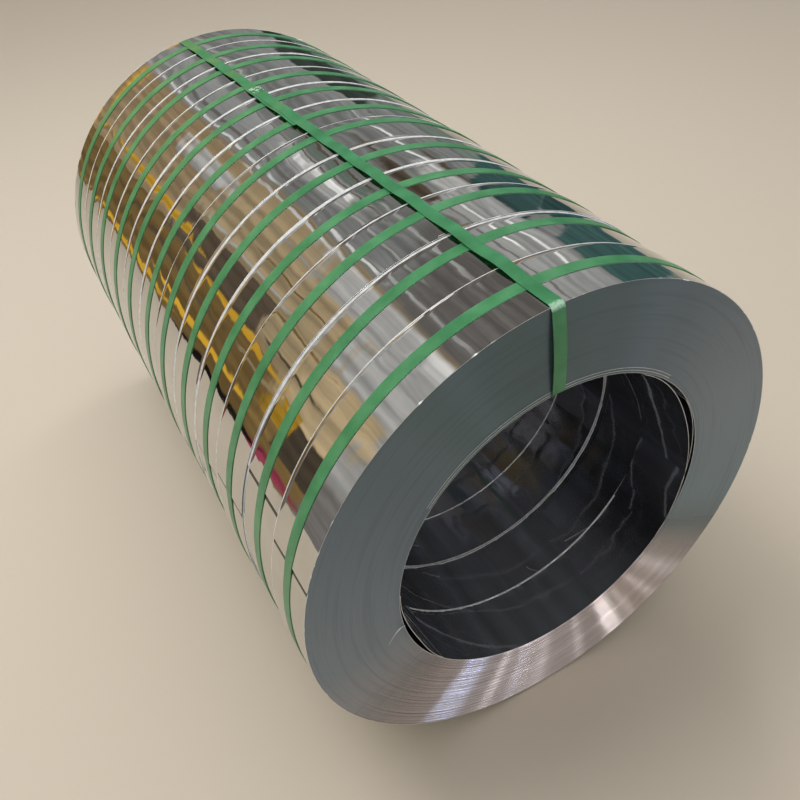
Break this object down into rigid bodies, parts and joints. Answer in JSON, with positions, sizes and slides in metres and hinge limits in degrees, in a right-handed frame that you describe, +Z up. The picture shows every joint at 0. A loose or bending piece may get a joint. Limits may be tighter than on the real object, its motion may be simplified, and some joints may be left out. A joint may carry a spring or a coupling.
{
  "type": "steel coil",
  "caption": "Bright steel strip slit into narrow coils, butted on one axis with a round bore, each banded with green plastic strapping and tied together through the eye.",
  "frame": {"origin": "on the floor, under the middle of the coil's length and of its width", "axes": "+Z up, the coils' axis along Y, and -Y out of the near end face; the strap ends of the outer wraps lie on the -X side"},
  "size_m": [0.7795, 1.232, 0.7794],
  "materials": {
    "bright_rolled_steel": "mirror bright outer wraps, dull grey slit edges on the ends",
    "green_pet_strapping": "semi-gloss green, finely embossed"
  },
  "bodies": {
    "root": {"slit_coil_01": "bright_rolled_steel", "slit_coil_02": "bright_rolled_steel", "slit_coil_03": "bright_rolled_steel", "slit_coil_04": "bright_rolled_steel", "slit_coil_05": "bright_rolled_steel", "slit_coil_06": "bright_rolled_steel", "slit_coil_07": "bright_rolled_steel", "slit_coil_08": "bright_rolled_steel", "slit_coil_09": "bright_rolled_steel", "slit_coil_10": "bright_rolled_steel", "slit_coil_11": "bright_rolled_steel", "slit_coil_12": "bright_rolled_steel", "coil_strap_01": "green_pet_strapping", "coil_strap_02": "green_pet_strapping", "coil_strap_03": "green_pet_strapping", "coil_strap_04": "green_pet_strapping", "coil_strap_05": "green_pet_strapping", "coil_strap_06": "green_pet_strapping", "coil_strap_07": "green_pet_strapping", "coil_strap_08": "green_pet_strapping", "coil_strap_09": "green_pet_strapping", "coil_strap_10": "green_pet_strapping", "coil_strap_11": "green_pet_strapping", "coil_strap_12": "green_pet_strapping", "eye_strap": "green_pet_strapping"}
  },
  "joints": []
}
